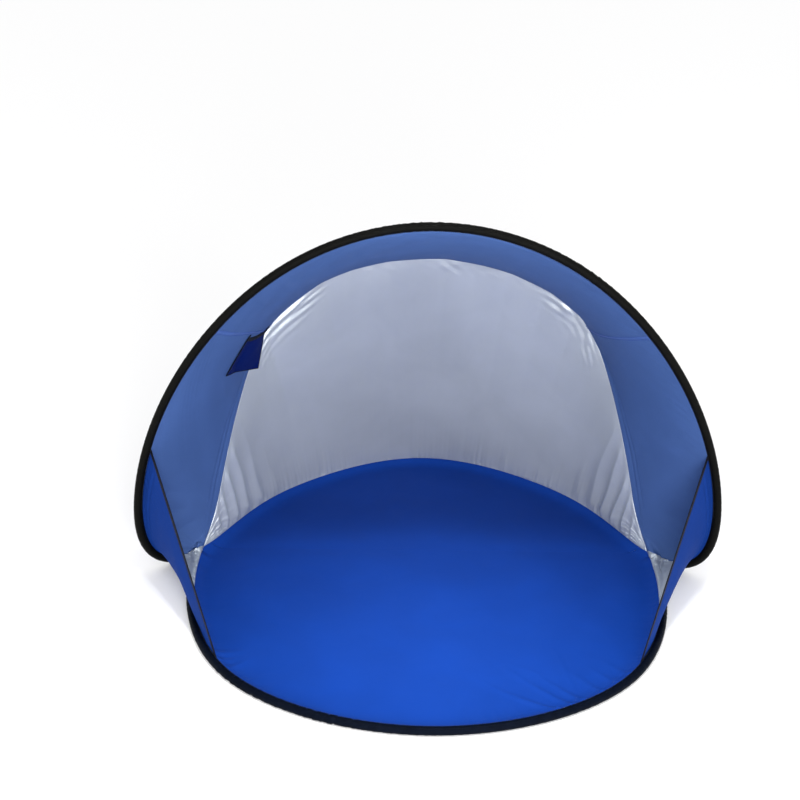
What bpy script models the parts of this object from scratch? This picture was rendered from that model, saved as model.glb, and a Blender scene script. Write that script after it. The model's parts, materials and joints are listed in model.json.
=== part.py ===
"""Pop-up beach tent: two crossing sprung hoops in fabric sleeves, with sewn panels between them.

Hoop A is the front arch and the rear ground rim.  Hoop B is the rear arch and the front ground
rim.  They cross near the ground at each side, and the tent gathers shut about the lateral line
through the two crossings.  Metres, +Z up, the open front faces -Y, and the origin is on the
ground below the middle of the tent.
"""
import math

import bmesh
import bpy
import numpy as np

# ---- driving dimensions -------------------------------------------------------------------
SLEEVE_R = 0.012          # outside radius of the filled fabric sleeve
SLEEVE_WALL = 0.0012
WIRE_R = 0.002            # spring-steel hoop wire
FERRULE_R = 0.0038        # crimped tube that joins the two ends of a wire
FERRULE_WALL = 0.0014
FERRULE_LENGTH = 0.045
FERRULES = ("rear_rim", "front_rim")      # the half-hoop that holds each wire's ferrule
CLOTH = 0.0008            # thickness of the sewn panels
FLOOR_CLOTH = 0.0012
SEAM_GAP = 0.0030         # clear space between a panel's edge and the sleeve it is sewn to
TOUCH_GAP = 0.0003        # clear space between touching pieces

AXIS_Y = 0.165            # the gather line runs along X through this point
AXIS_Z = 0.001
HINGE_R = 0.088           # hoop pieces inside this radius of the gather line stay at the corner
ARCH_FOOT_R = 0.100       # hoop A turns up from the ground outside this radius
HINGE_GAP = 0.012         # space left where a hoop piece ends beside the gather line

# Hoop A, right half, from the top of the front arch down to the back of the rear rim.
A_TOP = (0.0, -0.150, 1.130)
A_HALF = [
    (0.397, -0.139, 1.000),       # shoulder
    (0.801, -0.026, 0.364),       # side
    (0.783, 0.042, 0.047),        # curl at the foot of the arch
    (0.714, 0.090, SLEEVE_R),     # runs in along the ground
    (0.662, 0.150, SLEEVE_R),     # under hoop B
    (0.530, 0.395, SLEEVE_R),     # rear rim
    (0.350, 0.597, SLEEVE_R),
]
A_BACK = (0.0, 0.7525, SLEEVE_R)

# Hoop B, right half, from the front of the ground rim back and up to the top of the rear arch.
B_FRONT = (0.0, -0.7525, SLEEVE_R)
REAR_LEAN = math.radians(73.0)    # plane of the rear arch, from the floor behind it
B_RIM = [
    (0.540, -0.5015, SLEEVE_R),
    (0.668, -0.125, SLEEVE_R),
    (0.675, 0.055, SLEEVE_R),     # starts to rise
    (0.664, 0.142, 0.046),        # over hoop A
]
B_ARCH = [(0.646, 0.080), (0.613, 0.222), (0.524, 0.555), (0.440, 0.697)]   # width, height
B_ARCH_TOP = 0.851

CHORD_POWER = 0.75        # spacing of the spline's key points
TURN_STEP = math.radians(14.0)    # most that a hoop turns between two of its points
LENGTH_STEP = 0.12
FINE_STEPS = 800          # points used to measure along a hoop
B_ON_GROUND = (0.05, 0.26)        # right-hand stretches of hoop B, in turns round the loop
B_RISING = (0.26, 0.45)
A_GROUND_Z = 0.020        # hoop A lies on the ground where its centre line is below this

# Columns and rows of each panel's grid.
ROOF_GRID = (14, 4)
SIDE_GRID = (18, 4)
EDGE_GRID = (11, 3)
WALL_GRID = (28, 4)

# Where the panels meet the hoops, as heights on the front arch and points along the rims.
BINDING_TOP_Z = 0.427
BINDING_FOOT_Y = -0.446
BINDING_WIDTH = 0.011
BINDING_THICKNESS = 0.0016
SEAM_FRONT_Z = 0.820      # the canopy's two cross seams, on the front arch and on the rear arch
SEAM_REAR_Z = 0.655
SEAM_STEP = 0.0002        # half the gap between canopy panels, in turns round a hoop
EDGE_STEP = 0.001         # a panel's edge is moved off a hoop in steps of this length
CORNER_TRIM = 0.115       # panels stop where the two hoops come closer than this
FLOOR_INSET = 0.0135      # floor edge, inside the hoop's centre line
FLOOR_CORNER_X = 0.622    # the front floor is narrower beside the corner sleeves
FLOOR_CORNER_Y = 0.060
FLOOR_FOLD_GAP = 0.0012   # the front floor stops this far short of the gather line

# Inner pocket under the left cross seam: its corners, rear then front.
POCKET_TOP = [(-0.468, 0.243, 0.696), (-0.5106, 0.1288, 0.7187)]
POCKET_FOOT = [(-0.4957, 0.270, 0.5427), (-0.5814, 0.1325, 0.585)]
POCKET_BAND = 0.012       # width of the band sewn along the pocket's mouth
POCKET_CLOTH = 0.0016     # two layers

COLLECTION = "pop_up_tent"


# ---- hoop curves --------------------------------------------------------------------------
class Loop:
    """Smooth closed curve through key points: a periodic cubic spline."""

    def __init__(self, points):
        self.points = np.array(points, float)
        closed = np.vstack([self.points, self.points[:1]])
        chords = np.linalg.norm(np.diff(closed, axis=0), axis=1) ** CHORD_POWER
        self.knots = np.concatenate([[0.0], np.cumsum(chords)])
        count = len(self.points)
        matrix = np.zeros((count, count))
        right = np.zeros((count, 3))
        for i in range(count):
            before, after = chords[i - 1], chords[i]
            matrix[i, i] = 2.0 * (before + after)
            matrix[i, i - 1] = before
            matrix[i, (i + 1) % count] = after
            ahead = (closed[i + 1] - closed[i]) / after
            behind = (closed[i] - self.points[i - 1]) / before
            right[i] = 6.0 * (ahead - behind)
        bends = np.linalg.solve(matrix, right)
        self.bends = np.vstack([bends, bends[:1]])
        self.closed = closed

    def at(self, u):
        """Point at u, from 0 to 1 round the loop."""
        t = (u % 1.0) * self.knots[-1]
        i = min(int(np.searchsorted(self.knots, t, side="right")) - 1, len(self.points) - 1)
        h = self.knots[i + 1] - self.knots[i]
        a = (self.knots[i + 1] - t) / h
        b = 1.0 - a
        point = a * self.closed[i] + b * self.closed[i + 1]
        point = point + ((a**3 - a) * self.bends[i] + (b**3 - b) * self.bends[i + 1]) * h * h / 6.0
        point[2] = max(point[2], SLEEVE_R)
        return point

    def find(self, low, high, test):
        """The u between low and high where test(point) turns from true to false."""
        for _ in range(50):
            middle = 0.5 * (low + high)
            if test(self.at(middle)):
                low = middle
            else:
                high = middle
        return low

    def spots(self, start, stop, count=None):
        """Values of u from start to stop, closer together where the hoop bends."""
        fine = np.linspace(start, stop, FINE_STEPS)
        points = np.array([self.at(u) for u in fine])
        ways = np.diff(points, axis=0)
        lengths = np.linalg.norm(ways, axis=1)
        ways = ways / lengths[:, None]
        turns = np.arccos(np.clip((ways[1:] * ways[:-1]).sum(axis=1), -1.0, 1.0))
        cost = lengths / LENGTH_STEP
        cost[1:] += turns / TURN_STEP
        total = np.concatenate([[0.0], np.cumsum(cost)])
        if count is None:
            count = int(math.ceil(total[-1]))
        return np.interp(np.linspace(0.0, total[-1], count + 1), total, fine)

    def run(self, start, stop):
        return [self.at(u) for u in self.spots(start, stop)]

    def clearance(self, point):
        """Distance from a point to the middle of the hoop."""
        if not hasattr(self, "trace"):
            turns = np.linspace(0.0, 1.0, FINE_STEPS)
            self.trace = np.array([self.at(u) for u in turns])
        return float(np.linalg.norm(self.trace - point, axis=1).min())


def mirrored(half):
    return [(-x, y, z) for x, y, z in reversed(half)]


def rear_plane(x, z):
    return (x, AXIS_Y + (z - AXIS_Z) / math.tan(REAR_LEAN), z)


def radius(point):
    """Distance from the gather line."""
    return math.hypot(point[1] - AXIS_Y, point[2] - AXIS_Z)


def make_hoops():
    hoop_a = Loop([A_TOP] + A_HALF + [A_BACK] + mirrored(A_HALF))
    right = B_RIM + [rear_plane(x, z) for x, z in B_ARCH]
    top = rear_plane(0.0, B_ARCH_TOP)
    hoop_b = Loop([B_FRONT] + right + [top] + mirrored(right))
    return hoop_a, hoop_b


# ---- mesh and curve helpers ---------------------------------------------------------------
def material(name, color, roughness, metallic=0.0):
    made = bpy.data.materials.new(name)
    made.use_nodes = True
    shader = made.node_tree.nodes["Principled BSDF"]
    shader.inputs["Base Color"].default_value = (*color, 1.0)
    shader.inputs["Roughness"].default_value = roughness
    shader.inputs["Metallic"].default_value = metallic
    made.diffuse_color = (*color, 1.0)
    return made


def link(name, data, finish, origin=None):
    """Put an object in the tent's collection, under its pivot on the gather line if it moves."""
    item = bpy.data.objects.new(name, data)
    data.materials.append(finish)
    bpy.data.collections[COLLECTION].objects.link(item)
    if origin is not None:
        item.parent = origin
        item.matrix_parent_inverse = origin.matrix_world.inverted()
    return item


def tube(name, points, depth, finish, origin=None, wall=None):
    """A round bar along points, or with a wall an open-ended pipe."""
    curve = bpy.data.curves.new(name, "CURVE")
    curve.dimensions = "3D"
    curve.bevel_depth = depth
    curve.bevel_resolution = 2
    curve.use_fill_caps = wall is None
    spline = curve.splines.new("POLY")
    spline.points.add(len(points) - 1)
    for spot, point in zip(spline.points, points):
        spot.co = (*point, 1.0)
    item = link(name, curve, finish, origin)
    if wall is not None:
        shell = item.modifiers.new("wall", "SOLIDIFY")
        shell.thickness = wall
        shell.offset = -1.0
    return item


def panel(name, rails, thickness, finish, origin=None):
    """A cloth panel: a loft through rails, which are equal-length rows of points."""
    mesh = bpy.data.meshes.new(name)
    grid = bmesh.new()
    rows = [[grid.verts.new(point) for point in rail] for rail in rails]
    for low, high in zip(rows, rows[1:]):
        for i in range(len(low) - 1):
            grid.faces.new((low[i], low[i + 1], high[i + 1], high[i]))
    bmesh.ops.recalc_face_normals(grid, faces=grid.faces)
    grid.to_mesh(mesh)
    grid.free()
    mesh.shade_smooth()
    item = link(name, mesh, finish, origin)
    shell = item.modifiers.new("cloth", "SOLIDIFY")
    shell.thickness = thickness
    shell.offset = 0.0
    return item


def flat_sheet(name, outline, thickness, finish, origin=None):
    """A flat sheet on the ground with the given outline."""
    curve = bpy.data.curves.new(name, "CURVE")
    curve.dimensions = "2D"
    curve.fill_mode = "BOTH"
    curve.extrude = 0.5 * thickness
    spline = curve.splines.new("POLY")
    spline.points.add(len(outline) - 1)
    for spot, point in zip(spline.points, outline):
        spot.co = (point[0], point[1], 0.0, 1.0)
    spline.use_cyclic_u = True
    item = link(name, curve, finish)
    item.location.z = 0.5 * thickness
    if origin is not None:
        item.parent = origin
        item.matrix_parent_inverse = origin.matrix_world.inverted()
    return item


def pivot(name):
    """An empty on the gather line, which the pieces of one moving half-hoop hang from."""
    empty = bpy.data.objects.new(name, None)
    empty.location = (0.0, AXIS_Y, AXIS_Z)
    bpy.data.collections[COLLECTION].objects.link(empty)
    bpy.context.view_layer.update()
    return empty


# ---- panels between two hoops -------------------------------------------------------------
def ruling(hoop_from, u, hoop_to, v):
    """The two ends of the cloth on the line from one hoop to the other, clear of both sleeves."""
    start, stop = hoop_from.at(u), hoop_to.at(v)
    way = (stop - start) / np.linalg.norm(stop - start)
    ends = []
    for point, step in ((start, EDGE_STEP * way), (stop, -EDGE_STEP * way)):
        point = point.copy()
        while min(hoop_from.clearance(point), hoop_to.clearance(point)) < SLEEVE_R + SEAM_GAP:
            point += step
        ends.append(point)
    return ends


def spread(hoop_from, range_from, hoop_to, range_to, count, rows):
    """Rails of a panel between a stretch of one hoop and a stretch of another."""
    rails = [[] for _ in range(rows + 1)]
    for u in hoop_from.spots(range_from[0], range_from[1], count):
        share = (u - range_from[0]) / (range_from[1] - range_from[0])
        v = range_to[0] + (range_to[1] - range_to[0]) * share
        start, stop = ruling(hoop_from, u, hoop_to, v)
        for j in range(rows + 1):
            rails[j].append(start + (stop - start) * (j / rows))
    return rails


def trimmed(hoop_from, range_from, hoop_to, range_to):
    """Shorten both ranges at their first end until the hoops are CORNER_TRIM apart."""
    for f in np.linspace(0.0, 1.0, FINE_STEPS):
        u = range_from[0] + (range_from[1] - range_from[0]) * f
        v = range_to[0] + (range_to[1] - range_to[0]) * f
        if np.linalg.norm(hoop_from.at(u) - hoop_to.at(v)) > CORNER_TRIM:
            return (u, range_from[1]), (v, range_to[1])
    return range_from, range_to


def inset(points, distance):
    """Move the points of a ground rim in towards the tent's middle, square to the rim."""
    moved = []
    for i, point in enumerate(points):
        before = points[max(i - 1, 0)]
        after = points[min(i + 1, len(points) - 1)]
        way = np.array([after[0] - before[0], after[1] - before[1]])
        way = way / np.linalg.norm(way)
        side = np.array([-way[1], way[0]])
        if np.dot(side, [-point[0], -point[1]]) < 0.0:
            side = -side
        moved.append((point[0] + side[0] * distance, point[1] + side[1] * distance))
    return moved


# ---- the tent -----------------------------------------------------------------------------
def build():
    for item in list(bpy.data.objects):
        bpy.data.objects.remove(item, do_unlink=True)
    bpy.context.scene.collection.children.link(bpy.data.collections.new(COLLECTION))

    black = material("sleeve_black", (0.020, 0.021, 0.019), 0.62)
    steel = material("spring_steel", (0.36, 0.37, 0.38), 0.32, 1.0)
    blue = material("canopy_blue", (0.045, 0.115, 0.400), 0.55)
    silver = material("back_wall_silver", (0.330, 0.360, 0.440), 0.38)
    floor_blue = material("floor_blue", (0.012, 0.080, 0.480), 0.50)
    navy = material("pocket_navy", (0.008, 0.014, 0.110), 0.60)

    hoop_a, hoop_b = make_hoops()
    rear = pivot("rear_arch_pivot")
    front = pivot("front_arch_pivot")
    floor = pivot("front_floor_pivot")

    # Half loops: u runs 0 to 0.5 down the right-hand side of each hoop.
    far = HINGE_R + HINGE_GAP
    a_cross = hoop_a.find(0.0, 0.5, lambda p: not (p[2] < A_GROUND_Z and p[1] > AXIS_Y))
    a_foot = hoop_a.find(0.1, a_cross, lambda p: radius(p) > ARCH_FOOT_R + HINGE_GAP)
    a_stub = hoop_a.find(0.1, a_cross, lambda p: radius(p) > ARCH_FOOT_R)
    b_rim = hoop_b.find(*B_ON_GROUND, lambda p: radius(p) > far)
    b_low = hoop_b.find(*B_ON_GROUND, lambda p: radius(p) > HINGE_R)
    b_high = hoop_b.find(*B_RISING, lambda p: radius(p) < HINGE_R - TOUCH_GAP)
    b_foot = hoop_b.find(*B_RISING, lambda p: radius(p) < far)

    hoops(hoop_a, hoop_b, (a_foot, a_stub), (b_rim, b_low, b_high, b_foot),
          (rear, front, floor), black, steel)
    panels(hoop_a, hoop_b, a_cross, (rear, front), blue, silver, black)
    floors(hoop_a, hoop_b, a_cross, floor, floor_blue)
    pocket(front, navy, black)


def hoops(hoop_a, hoop_b, splits_a, splits_b, origins, black, steel):
    """Sleeves, wires and ferrules of both hoops, split where they turn."""
    rear, front, floor = origins
    a_foot, a_stub = splits_a
    b_rim, b_low, b_high, b_foot = splits_b
    runs = [
        ("rear_rim", hoop_a, a_stub, 1.0 - a_stub, None),
        ("front_arch", hoop_a, -a_foot, a_foot, front),
        ("front_rim", hoop_b, -b_rim, b_rim, floor),
        ("rear_arch", hoop_b, b_foot, 1.0 - b_foot, rear),
        ("right_corner", hoop_b, b_low, b_high, None),
        ("left_corner", hoop_b, 1.0 - b_high, 1.0 - b_low, None),
    ]
    for name, hoop, start, stop, origin in runs:
        points = hoop.run(start, stop)
        tube(name + "_sleeve", points, SLEEVE_R, black, origin, wall=SLEEVE_WALL)
        tube(name + "_wire", points, WIRE_R, steel, origin)
        if name in FERRULES:
            tube(name + "_ferrule", ferrule_run(points), FERRULE_R, steel, origin, FERRULE_WALL)


def ferrule_run(points):
    """The two ends of the ferrule, on the straight stretch of wire nearest the hoop's middle."""
    i = len(points) // 2 - 1
    way = points[i + 1] - points[i]
    centre = 0.5 * (points[i] + points[i + 1])
    half = 0.5 * FERRULE_LENGTH * way / np.linalg.norm(way)
    return [centre - half, centre + half]


def panels(hoop_a, hoop_b, a_cross, origins, blue, silver, black):
    """Canopy, back wall, side panels and the binding along each side panel's free edge."""
    rear, front = origins
    b_cross = hoop_b.find(0.05, 0.3, lambda p: p[2] < B_RIM[-1][2])
    a_seam = hoop_a.find(0.0, a_cross, lambda p: p[2] > SEAM_FRONT_Z)
    b_seam = hoop_b.find(b_cross, 0.5, lambda p: p[2] < SEAM_REAR_Z)
    a_binding = hoop_a.find(0.0, a_cross, lambda p: p[2] > BINDING_TOP_Z)
    b_binding = hoop_b.find(0.0, b_cross, lambda p: p[1] < BINDING_FOOT_Y)

    roof_a = (a_seam - SEAM_STEP, -a_seam + SEAM_STEP)
    roof_b = (b_seam + SEAM_STEP, 1.0 - b_seam - SEAM_STEP)
    panel("canopy_roof", spread(hoop_a, roof_a, hoop_b, roof_b, *ROOF_GRID), CLOTH, blue, front)

    side = trimmed(hoop_a, (a_cross, a_seam), hoop_b, (b_cross, b_seam))
    edge = trimmed(hoop_a, (a_cross, a_binding), hoop_b, (b_cross, b_binding))
    for hand in ("right", "left"):
        rails = handed(spread(hoop_a, side[0], hoop_b, side[1], *SIDE_GRID), hand)
        panel("canopy_side_" + hand, rails, CLOTH, blue, front)
        rails = spread(hoop_a, edge[0], hoop_b, edge[1], *EDGE_GRID)
        panel("side_panel_" + hand, handed(rails, hand), CLOTH, blue, front)
        rails = handed(binding_rails(rails), hand)
        panel("edge_binding_" + hand, rails, BINDING_THICKNESS, black, front)

    wall = trimmed(hoop_a, (a_cross, 0.5), hoop_b, (b_cross, 0.5))
    wall_a = (wall[0][0], 1.0 - wall[0][0])
    wall_b = (wall[1][0], 1.0 - wall[1][0])
    panel("back_wall", spread(hoop_b, wall_b, hoop_a, wall_a, *WALL_GRID), CLOTH, silver, rear)


def handed(rails, hand):
    """Rails of a right-hand panel, or their mirror image for the left."""
    if hand == "right":
        return rails
    return [[np.array([-point[0], point[1], point[2]]) for point in rail] for rail in rails]


def binding_rails(rails):
    """A strip just outside the last ruling of a side panel."""
    inner, outer = [], []
    ends = [rail[-1] for rail in rails]
    along = (ends[-1] - ends[0]) / np.linalg.norm(ends[-1] - ends[0])
    for rail in rails:
        away = rail[-1] - rail[-2]
        away = away - along * np.dot(away, along)
        away = away / np.linalg.norm(away)
        inner.append(rail[-1] + away * TOUCH_GAP)
        outer.append(rail[-1] + away * (TOUCH_GAP + BINDING_WIDTH))
    return [inner, outer]


def floors(hoop_a, hoop_b, a_cross, origin, finish):
    """The ground sheet: a rear half, and a front half that folds over it at the gather line."""
    rear_rim = inset(hoop_a.run(a_cross, 1.0 - a_cross), FLOOR_INSET)
    back = AXIS_Y + TOUCH_GAP
    outline = [point for point in rear_rim if point[1] > back + SLEEVE_R]
    half_width = max(point[0] for point in outline)
    outline = [(half_width, back)] + outline + [(-half_width, back)]
    flat_sheet("floor_rear", outline, FLOOR_CLOTH, finish)

    b_edge = hoop_b.find(*B_ON_GROUND, lambda p: p[1] < FLOOR_CORNER_Y - 2.0 * FLOOR_INSET)
    outline = inset(hoop_b.run(-b_edge, b_edge), FLOOR_INSET)
    crease = AXIS_Y - FLOOR_FOLD_GAP
    corner = [(FLOOR_CORNER_X, FLOOR_CORNER_Y), (FLOOR_CORNER_X, crease)]
    outline = [(-x, y) for x, y in reversed(corner)] + outline + corner
    flat_sheet("floor_front", outline, FLOOR_CLOTH, finish, origin)


def pocket(origin, navy, black):
    """Flat inner pocket with a stiffened band along its mouth."""
    top = [np.array(point) for point in POCKET_TOP]
    foot = [np.array(point) for point in POCKET_FOOT]
    share = POCKET_BAND / np.linalg.norm(foot[0] - top[0])
    gap = TOUCH_GAP / np.linalg.norm(foot[0] - top[0])
    mouth = [high + (low - high) * share for high, low in zip(top, foot)]
    start = [high + (low - high) * (share + gap) for high, low in zip(top, foot)]
    panel("pocket_mouth_band", [top, mouth], POCKET_CLOTH, black, origin)
    panel("pocket", [start, foot], POCKET_CLOTH, navy, origin)


build()
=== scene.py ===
"""Looks of the pop-up beach tent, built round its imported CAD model.

Every sewn piece is built again here as fine cloth between the same two sprung hoops that the CAD
has.  Hoop A is the front arch and the rear ground rim.  Hoop B is the rear arch and the front
ground rim.  Metres, +Z up, the open front faces -Y.
"""
import json
import math

import bpy
import numpy as np
from mathutils import Matrix, Vector
from mathutils.kdtree import KDTree

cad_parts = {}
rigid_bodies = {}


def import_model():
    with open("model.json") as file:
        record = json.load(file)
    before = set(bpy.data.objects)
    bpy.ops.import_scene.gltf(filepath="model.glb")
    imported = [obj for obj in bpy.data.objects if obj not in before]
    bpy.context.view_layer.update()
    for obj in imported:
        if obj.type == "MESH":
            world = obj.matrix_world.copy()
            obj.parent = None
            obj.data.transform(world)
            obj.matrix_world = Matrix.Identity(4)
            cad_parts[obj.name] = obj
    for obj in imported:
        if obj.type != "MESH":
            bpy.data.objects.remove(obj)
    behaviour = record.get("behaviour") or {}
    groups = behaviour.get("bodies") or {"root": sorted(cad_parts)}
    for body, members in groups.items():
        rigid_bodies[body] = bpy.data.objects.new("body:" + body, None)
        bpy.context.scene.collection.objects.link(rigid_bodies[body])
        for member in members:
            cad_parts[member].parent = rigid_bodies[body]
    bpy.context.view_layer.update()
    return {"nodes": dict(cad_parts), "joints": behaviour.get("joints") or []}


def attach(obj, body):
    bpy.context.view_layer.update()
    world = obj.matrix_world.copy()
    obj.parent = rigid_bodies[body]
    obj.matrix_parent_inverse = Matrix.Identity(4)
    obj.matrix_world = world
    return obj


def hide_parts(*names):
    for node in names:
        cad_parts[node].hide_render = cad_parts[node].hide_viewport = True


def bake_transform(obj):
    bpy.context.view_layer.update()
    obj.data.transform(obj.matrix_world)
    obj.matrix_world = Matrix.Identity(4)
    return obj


for leftover in list(bpy.data.objects):
    bpy.data.objects.remove(leftover, do_unlink=True)
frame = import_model()

# ---- bodies and the gather line ----
REAR_GROUND = "rear_ground"
FRONT_GROUND = "front_ground"
GATHER_Y = frame["joints"][0]["pos_m"][1]
GATHER_Z = frame["joints"][0]["pos_m"][2]

# ---- hoops, with the CAD's own key points ----
SLEEVE_R = 0.012
WIRE_R = 0.002
REAR_LEAN = math.radians(73.0)
CHORD_POWER = 0.75
A_TOP = (0.0, -0.150, 1.130)
A_HALF = [
    (0.397, -0.139, 1.000), (0.801, -0.026, 0.364), (0.783, 0.042, 0.047),
    (0.714, 0.090, SLEEVE_R), (0.662, 0.150, SLEEVE_R), (0.530, 0.395, SLEEVE_R),
    (0.350, 0.597, SLEEVE_R),
]
A_BACK = (0.0, 0.7525, SLEEVE_R)
B_FRONT = (0.0, -0.7525, SLEEVE_R)
B_RIM = [
    (0.540, -0.5015, SLEEVE_R), (0.668, -0.125, SLEEVE_R), (0.675, 0.055, SLEEVE_R),
    (0.664, 0.142, 0.046),
]
B_ARCH = [(0.646, 0.080), (0.613, 0.222), (0.524, 0.555), (0.440, 0.697)]
B_ARCH_TOP = 0.851

# Where panels meet the hoops.
SEAM_FRONT_Z = 0.820      # cross seams of the canopy
SEAM_REAR_Z = 0.655
BINDING_TOP_Z = 0.427     # free edge of a side panel
BINDING_FOOT_Y = -0.446

MIDDLE = np.array([0.0, 0.05, 0.35])      # the hoops' seams look towards this point
CORNER = np.array([0.657, 0.135, 0.023])  # all panels gather here, inside both sleeves
CORNER_REACH = 0.045      # how far along a hoop its seam starts to turn to that point
SEAM_GAP = 0.0002         # between a sleeve and the cloth sewn to it
PASS_GAP = 0.0010         # between a sleeve and cloth that only passes over it
SEAM_MARKS = 3001
SEAM_ROUNDS = 12
SEAM_EASED = (0.09, 0.13)                 # the seam is smoothed this near a corner, fading out
SLEEVE_MARKS = 1400
SLEEVE_RAISED = (0.020, 0.060)            # heights at which a sleeve can have cloth below it
SLEEVE_BELOW = 0.035      # how far below such a sleeve cloth is still drawn out
LIFT_UP = 1.2             # how much more up than inward cloth leaves a sleeve
FINE = 2000               # steps by which a length along a hoop is measured
HALVINGS = 40
FULL_TURN = 2.0 * math.pi
CLOTH = 0.0006            # depth of the visible cloth
SEED = 7


class Loop:
    """Smooth closed curve through key points: a periodic cubic spline."""

    def __init__(self, points):
        self.points = np.array(points, float)
        self.closed = np.vstack([self.points, self.points[:1]])
        chords = np.linalg.norm(np.diff(self.closed, axis=0), axis=1) ** CHORD_POWER
        self.knots = np.concatenate([[0.0], np.cumsum(chords)])
        count = len(self.points)
        matrix = np.zeros((count, count))
        right = np.zeros((count, 3))
        for i in range(count):
            before, after = chords[i - 1], chords[i]
            matrix[i, i] = 2.0 * (before + after)
            matrix[i, i - 1] = before
            matrix[i, (i + 1) % count] = after
            ahead = (self.closed[i + 1] - self.closed[i]) / after
            behind = (self.closed[i] - self.points[i - 1]) / before
            right[i] = 6.0 * (ahead - behind)
        bends = np.linalg.solve(matrix, right)
        self.bends = np.vstack([bends, bends[:1]])
        self.gathers = []

    def at(self, u):
        """Points at the values u, from 0 to 1 round the loop."""
        t = (np.atleast_1d(u) % 1.0) * self.knots[-1]
        i = np.clip(np.searchsorted(self.knots, t, side="right") - 1, 0, len(self.points) - 1)
        h = self.knots[i + 1] - self.knots[i]
        a = ((self.knots[i + 1] - t) / h)[:, None]
        b = 1.0 - a
        curve = (a**3 - a) * self.bends[i] + (b**3 - b) * self.bends[i + 1]
        points = a * self.closed[i] + b * self.closed[i + 1] + curve * (h**2)[:, None] / 6.0
        points[:, 2] = np.maximum(points[:, 2], SLEEVE_R)
        return points

    def find(self, low, high, test):
        """The u between low and high where test(point) turns from true to false."""
        for _ in range(HALVINGS):
            middle = 0.5 * (low + high)
            if test(self.at(middle)[0]):
                low = middle
            else:
                high = middle
        return low

    def even(self, start, stop, count):
        """Values of u from start to stop, equally far apart along the hoop."""
        fine = np.linspace(start, stop, FINE)
        total = length_along(self.at(fine))
        return np.interp(np.linspace(0.0, total[-1], count), total, fine)

    def inner_side(self, u):
        """The line on the sleeve that faces the middle."""
        step = 1e-4
        points = self.at(u)
        way = unit(self.at(np.atleast_1d(u) + step) - self.at(np.atleast_1d(u) - step))
        return points + toward_middle(points, way) * (SLEEVE_R + SEAM_GAP)

    def gather(self, u):
        """Draw the seams together at the corner where this hoop crosses the other one."""
        for place, side in ((u, 1.0), (1.0 - u, -1.0)):
            target = CORNER * np.array([side, 1.0, 1.0])
            self.gathers.append((self.at(place)[0], target - self.inner_side(place)[0]))

    def sew(self, sleeves):
        """Work out the seam, the line of this sleeve to which cloth is sewn, round the loop."""
        self.marks = shares_of(SEAM_MARKS)
        points = self.at(self.marks)
        line = self.inner_side(self.marks)
        fars = [np.linalg.norm(points - place, axis=1) for place, _ in self.gathers]
        for far, (_, shift) in zip(fars, self.gathers):
            line = line + shift * bell(far / CORNER_REACH)[:, None]
        soft = (1.0 - ramp(np.min(fars, axis=0), *SEAM_EASED))[:, None]
        for _ in range(SEAM_ROUNDS):
            line = line + (sleeves.clear(line, SEAM_GAP, under=True) - line) * soft
            even = line.copy()
            even[1:-1] = 0.5 * line[1:-1] + 0.25 * (line[2:] + line[:-2])
            line = line + (even - line) * soft
        self.line = line + (sleeves.clear(line, SEAM_GAP, under=True) - line) * soft
        self.inward = unit(self.inner_side(self.marks) - points)

    def seam(self, u, out=0.0):
        """Points of the seam, and out further towards the middle."""
        u = np.atleast_1d(u) % 1.0
        inward = read_at(u, self.marks, self.inward)
        return read_at(u, self.marks, self.line) + inward * np.atleast_1d(out)[:, None]


class Sleeves:
    """Both hoops' centre lines, to keep cloth out of the sleeves."""

    def __init__(self, hoops):
        u = np.linspace(0.0, 1.0, SLEEVE_MARKS, endpoint=False)
        self.hoops = []
        for hoop in hoops:
            centre, way, inward, _ = hoop_frame(hoop, u)
            lift = np.array([0.0, 0.0, 1.0]) - way[:, 2:] * way
            push = unit(inward + LIFT_UP * lift)
            tree = KDTree(len(centre))
            for number, point in enumerate(centre):
                tree.insert(point, number)
            tree.balance()
            self.hoops.append((tree, centre, way, push, np.cross(way, push)))

    def clear(self, points, gap, under=False):
        """Lift points out of the sleeves, and with under, out from below them as well."""
        flat = points.reshape(-1, 3)
        reach = SLEEVE_R + gap
        for tree, centre, way, push, side in self.hoops:
            near = np.array([tree.find(point)[1] for point in flat])
            offset = flat - centre[near]
            offset -= (offset * way[near]).sum(axis=1)[:, None] * way[near]
            across = (offset * side[near]).sum(axis=1)
            deep = (offset * push[near]).sum(axis=1)
            wanted = np.sqrt(np.maximum(reach**2 - across**2, 0.0))
            inside = across**2 + deep**2 < reach**2
            if under:
                height = centre[near, 2]
                raised = (height > SLEEVE_RAISED[0]) & (height < SLEEVE_RAISED[1])
                below = (deep > -SLEEVE_BELOW) & (deep < 0.0)
                inside |= raised & below & (np.abs(across) < reach)
            flat = flat + np.where(inside, wanted - deep, 0.0)[:, None] * push[near]
        return flat.reshape(points.shape)


def toward_middle(points, way):
    """Unit vectors towards the middle from points on a hoop, square to its way there."""
    inward = MIDDLE - points
    return unit(inward - (inward * way).sum(axis=1)[:, None] * way)


def hoop_frame(hoop, u):
    """Centre points, and unit vectors along the hoop, inward to the seam, and sideways."""
    centre = hoop.at(u)
    way = unit(np.gradient(centre, axis=0))
    inward = toward_middle(centre, way)
    return centre, way, inward, np.cross(way, inward)


def ramp(value, low, high):
    """0 below low, 1 above high, smooth between."""
    t = np.clip((value - low) / (high - low), 0.0, 1.0)
    return t * t * (3.0 - 2.0 * t)


def bell(value):
    """1 at 0, falling smoothly to 0 on both sides."""
    return np.exp(-(value**2))


def crest(value):
    """Like bell, but sharper at the top, as a fold is."""
    return np.exp(-np.abs(value) ** 1.5)


def unit(vectors):
    return vectors / np.maximum(np.linalg.norm(vectors, axis=-1, keepdims=True), 1e-12)


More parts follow.
